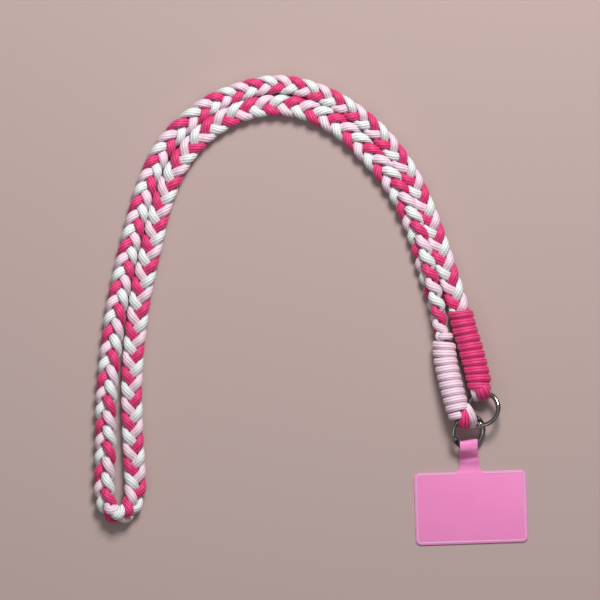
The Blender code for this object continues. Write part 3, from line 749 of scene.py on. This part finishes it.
def build_patch():
    """The plate and its tab, one sheet folded round the first ring's wire, and its moulded rim."""
    patch_frame = Matrix.Translation(PATCH_PLACE.to_3d()) @ Matrix.Rotation(PATCH_TURN, 4, "Z")
    columns, steps = 10, 84
    top = PATCH_DEPTH / 2
    left, right = TAB_OFFSET - TAB_ROOT_WIDTH / 2, TAB_OFFSET + TAB_ROOT_WIDTH / 2
    lower_right, lower_left, upper_left, upper_right = corner_arcs(0.0)
    places = [left + (right - left) * index / columns for index in range(columns + 1)]
    root = [Vector((place, top + TAB_FILLET, 0.0)) for place in places]
    outline = root + arc_points((right + TAB_FILLET, top + TAB_FILLET), TAB_FILLET, 180, 270, 6)[1:]
    outline += upper_right + lower_right + lower_left + upper_left
    outline += arc_points((left - TAB_FILLET, top + TAB_FILLET), TAB_FILLET, 270, 360, 6)[:-1]

    sheet = bmesh.new()
    circle = bmesh.ops.create_circle(sheet, cap_ends=True, segments=len(outline), radius=1.0)["verts"]
    for vert, point in zip(circle, outline):
        vert.co = point + UP * (PATCH_WALL / 2)
    row = [sheet.edges.get((a, b)) for a, b in zip(circle[:columns], circle[1:columns + 1])]
    wires = wire_under_tab(patch_frame)
    profiles = []
    for index in range(columns + 1):
        profiles.append(path_rows([(y, z, 0.0) for y, z in tab_profile(index / columns, wires)]))
    verts = circle[:columns + 1]
    for step in range(1, steps + 1):
        grown = bmesh.ops.extrude_edge_only(sheet, edges=row)["geom"]
        lines = [item for item in grown if isinstance(item, bmesh.types.BMEdge)]
        row = [edge for edge in lines if all(vert not in verts for vert in edge.verts)]
        verts = sorted({vert for edge in row for vert in edge.verts}, key=lambda vert: vert.co.x)
        for index, vert in enumerate(verts):
            y, z, _ = smooth_point(profiles[index], profiles[index][-1][0] * step / steps)
            taper = min(max((y - top - TAB_FILLET) / (TAB_REACH - TAB_FILLET), 0.0), 1.0)
            width = TAB_ROOT_WIDTH + (TAB_WIDTH - TAB_ROOT_WIDTH) * min(taper * 1.5, 1.0)
            vert.co = (TAB_OFFSET + width * (index / columns - 0.5), y, z)
    bmesh.ops.recalc_face_normals(sheet, faces=sheet.faces)
    bmesh.ops.transform(sheet, matrix=patch_frame, verts=sheet.verts)
    patch = place_piece("patch_sheet", sheet, "strap", "patch_pink", TPU, "tether_patch")
    wall = patch.modifiers.new("wall", "SOLIDIFY")
    wall.thickness = PATCH_WALL * MM
    wall.offset = 0.0
    wall.use_even_offset = True
    ease = patch.modifiers.new("ease", "BEVEL")
    ease.width = SHEET_EASE * MM
    ease.segments = 3
    ease.limit_method = "ANGLE"
    ease.angle_limit = math.radians(50)

    lower_right, lower_left, upper_left, upper_right = corner_arcs(RIM_INSET)
    path = [Vector((left - TAB_FILLET, top - RIM_INSET, 0.0))]
    for corner in (upper_left, lower_left, lower_right, upper_right):
        path += corner[::-1]
    path.append(Vector((right + TAB_FILLET, top - RIM_INSET, 0.0)))
    rings = []
    for index, point in enumerate(path):
        ahead = (path[min(index + 1, len(path) - 1)] - path[max(index - 1, 0)]).normalized()
        middle = point + UP * (PATCH_WALL - RIM_SINK)
        rings.append(cord_section(middle, UP.cross(ahead), UP, RIM_WIDTH, RIM_HEIGHT))
    rim = cord_mesh(rings)
    bmesh.ops.transform(rim, matrix=patch_frame, verts=rim.verts)
    place_piece("patch_rim", rim, "strap", "patch_pink", TPU_RIM_HIGHLIGHT)


for colour, offset in (("hot_pink", 0.0), ("light_pink", 2 * math.pi / 3), ("white", -2 * math.pi / 3)):
    build_strand(colour, offset)
build_grip("light_pink", GRIP_A_AXIS, TURN_PITCH_A, GRIP_A_DIAMETER, GRIP_A_SKEW, GRIP_A_ENDS)
build_collar()
build_grip("hot_pink", GRIP_B_AXIS, TURN_PITCH_B, GRIP_B_DIAMETER, GRIP_B_SKEW, GRIP_B_ENDS)
build_eye("eye_a_hot_cord", "hot_pink", EYE_A_HOT_ROUTE, "eye_a_hot_pink", thickness=2.4)
build_eye("eye_a_light_cord", "light_pink", EYE_A_LIGHT_ROUTE, "eye_a_light_pink", thickness=2.4)
build_eye("eye_b_hot_cord", "hot_pink", EYE_B_HOT_ROUTE, "eye_b_hot_pink", thickness=2.6)
build_eye("eye_b_light_cord", "light_pink", EYE_B_LIGHT_ROUTE, "eye_b_light_pink", thickness=2.2)
build_ring("a", False, GATE_A_HINGE, GATE_A_TIP)
build_ring("b", True, GATE_B_HINGE, GATE_B_TIP)
build_patch()


# Table, light and camera

def build_table():
    """A plain pale table top under the strap."""
    result, tree, shader = new_material("pale_table", 0.75)
    shader.inputs["Base Color"].default_value = linear("#B19C98")
    bm = bmesh.new()
    bmesh.ops.create_grid(bm, x_segments=1, y_segments=1, size=3.0)
    mesh = bpy.data.meshes.new("table_top")
    bm.to_mesh(mesh)
    bm.free()
    mesh.materials.append(result)
    table = bpy.data.objects.new("table_top", mesh)
    bpy.context.scene.collection.objects.link(table)


def add_light(name, place, size, watts, tint):
    """A square soft light that shines at the middle of the strap."""
    data = bpy.data.lights.new(name, "AREA")
    data.shape = "SQUARE"
    data.size = size
    data.energy = watts
    data.color = tint
    light = bpy.data.objects.new(name, data)
    light.location = place
    light.rotation_mode = "QUATERNION"
    light.rotation_quaternion = Vector(place).to_track_quat("Z", "Y")
    bpy.context.scene.collection.objects.link(light)


def build_camera():
    """A camera straight above, with a long lens that sees a third of a metre of table."""
    data = bpy.data.cameras.new("camera")
    data.lens = LENS
    data.sensor_width = SENSOR
    camera = bpy.data.objects.new("camera", data)
    camera.location = (*CAMERA_PLACE, PHOTO_PIXELS / PIXELS_PER_MM * MM * data.lens / data.sensor_width)
    bpy.context.scene.collection.objects.link(camera)
    bpy.context.scene.camera = camera


def build_studio():
    """A soft grey room that is brighter overhead."""
    world = bpy.data.worlds.new("studio")
    world.use_nodes = True
    room = world.node_tree.nodes["Background"]
    room.inputs[0].default_value = linear("#DCDDE0")
    direction = add(world.node_tree, "ShaderNodeTexCoord")
    height = add(world.node_tree, "ShaderNodeSeparateXYZ", {0: direction.outputs["Generated"]})
    overhead = add(
        world.node_tree, "ShaderNodeMapRange", {0: height.outputs[2], 1: 0.35, 2: 1.0, 3: 0.03, 4: 0.52},
        interpolation_type="SMOOTHSTEP",
    )
    world.node_tree.links.new(overhead.outputs[0], room.inputs[1])
    bpy.context.scene.world = world
    bpy.context.scene.view_settings.view_transform = "Standard"


build_table()
add_light("key", place=(0.20, 0.82, 1.00), size=0.40, watts=18.2, tint=(1.0, 0.98, 0.97))
add_light("fill", place=(-0.5, -0.7, 1.2), size=0.8, watts=2.0, tint=(0.96, 0.98, 1.0))
build_camera()
build_studio()
